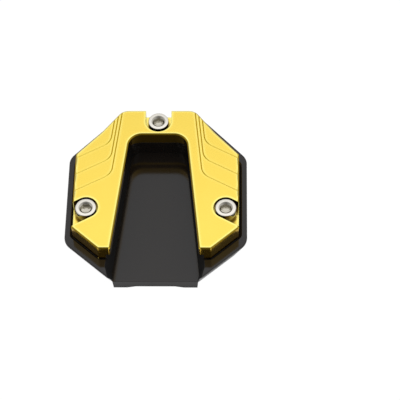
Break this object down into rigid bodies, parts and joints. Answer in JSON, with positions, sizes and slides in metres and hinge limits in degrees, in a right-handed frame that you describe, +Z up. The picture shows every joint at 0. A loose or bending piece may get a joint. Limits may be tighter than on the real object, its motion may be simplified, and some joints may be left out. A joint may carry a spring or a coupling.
{
  "type": "kickstand pad",
  "caption": "Eight-sided motorbike kickstand foot pad: black base plate with an open-fronted trough, gold U-shaped clamp plate and sunk socket-head screws.",
  "frame": {"origin": "centre of the base plate's outline, on its underside", "axes": "+Z up from the ground, +Y towards the closed rear of the trough, so the open mouth faces -Y; +X to the right seen from the mouth"},
  "size_m": [0.0748, 0.08, 0.0194],
  "materials": {
    "black_anodised": "black anodised, satin",
    "gold_anodised": "gold anodised, fine matt grain",
    "screw_steel": "bright turned steel"
  },
  "bodies": {
    "root": {"base_plate": "black_anodised", "clamp_plate": "gold_anodised", "clamp_screws": "screw_steel"}
  },
  "joints": []
}
